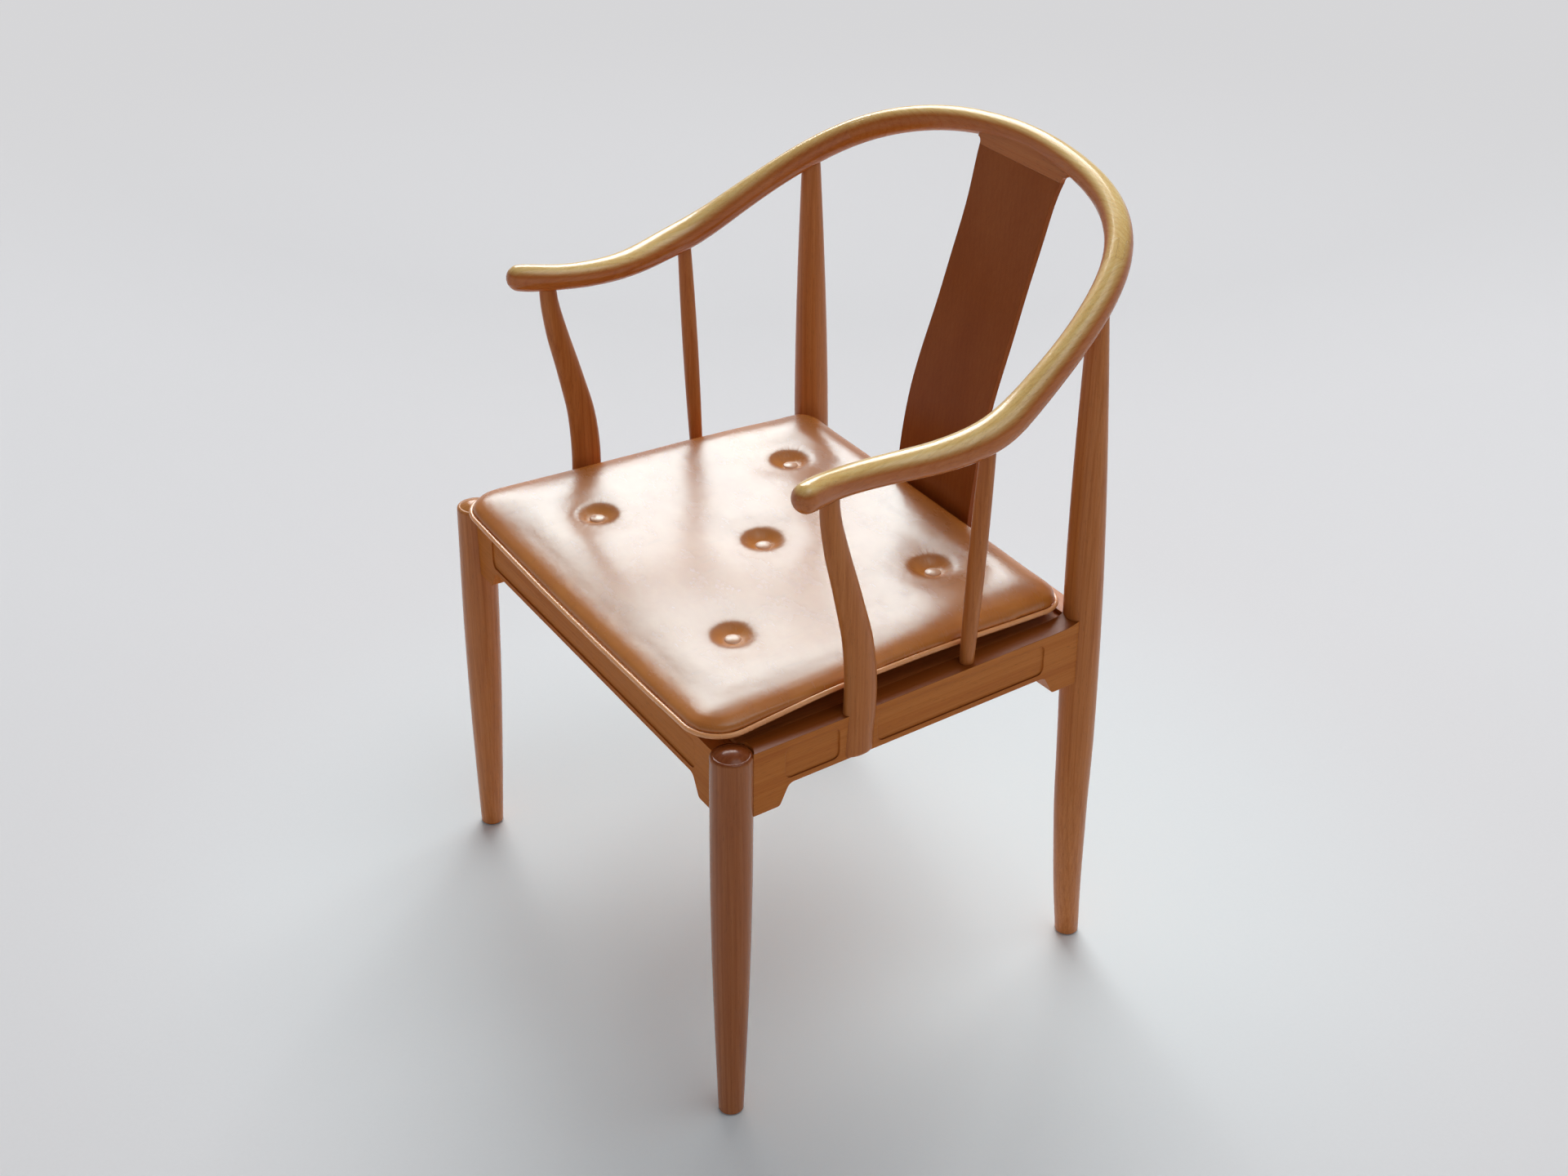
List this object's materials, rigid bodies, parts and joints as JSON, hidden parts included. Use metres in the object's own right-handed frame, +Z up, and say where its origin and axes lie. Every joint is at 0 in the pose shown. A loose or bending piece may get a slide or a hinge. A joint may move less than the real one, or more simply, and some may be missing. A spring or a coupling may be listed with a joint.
{
  "type": "horseshoe back armchair",
  "caption": "Wooden armchair with a horseshoe bow for arms and crest, solid bent splat, posts and spindles, bracketed seat rails and a loose tufted leather cushion.",
  "frame": {"origin": "on the floor, under the middle of the chair's outline seen from above", "axes": "+Z up, +X towards the sitter's left, front of the chair towards -Y"},
  "size_m": [0.5862, 0.5471, 0.8199],
  "materials": {
    "frame_wood": "satin clear lacquer over orange-brown cherry-like hardwood, fine straight grain",
    "bow_wood": "satin clear lacquer, yellower top surfaces, grain along the bow",
    "splat_wood": "satin lacquer over darker red-brown hardwood, vertical grain",
    "panel_wood": "plain sanded panel under the cushion",
    "inner_wood": "unfinished hardwood inside the seat frame",
    "screw_steel": "plain zinc-plated steel",
    "glide_plastic": "dark nylon glide",
    "seat_leather": "smooth natural tan leather, soft satin shine",
    "piping_leather": "the same leather round a cord",
    "button_leather": "leather-covered button",
    "tuft_thread": "waxed linen tufting cord"
  },
  "bodies": {
    "frame": {"front_leg_left": "frame_wood", "front_leg_right": "frame_wood", "rear_leg_left": "frame_wood", "rear_leg_right": "frame_wood", "front_rail": "frame_wood", "rear_rail": "frame_wood", "side_rail_left": "frame_wood", "side_rail_right": "frame_wood", "arm_post_left": "frame_wood", "arm_post_right": "frame_wood", "arm_spindle_left": "frame_wood", "arm_spindle_right": "frame_wood", "crest_rail": "bow_wood", "arm_rail_left": "bow_wood", "arm_rail_right": "bow_wood", "back_splat": "splat_wood", "seat_panel": "panel_wood", "seat_ledge_front": "inner_wood", "seat_ledge_rear": "inner_wood", "seat_ledge_left": "inner_wood", "seat_ledge_right": "inner_wood", "corner_block_front_left": "inner_wood", "corner_block_front_right": "inner_wood", "corner_block_rear_left": "inner_wood", "corner_block_rear_right": "inner_wood", "block_screws": "screw_steel", "arm_post_screws": "screw_steel", "foot_glides": "glide_plastic"},
    "cushion": {"cushion_body": "seat_leather", "cushion_piping": "piping_leather", "cushion_buttons": "button_leather", "cushion_back_buttons": "button_leather", "tuft_cords": "tuft_thread"}
  },
  "joints": [
    {"name": "cushion_lift", "type": "slide", "parent": "frame", "child": "cushion", "axis": [0, 0, 1], "range_m": [0, 0.15]}
  ]
}
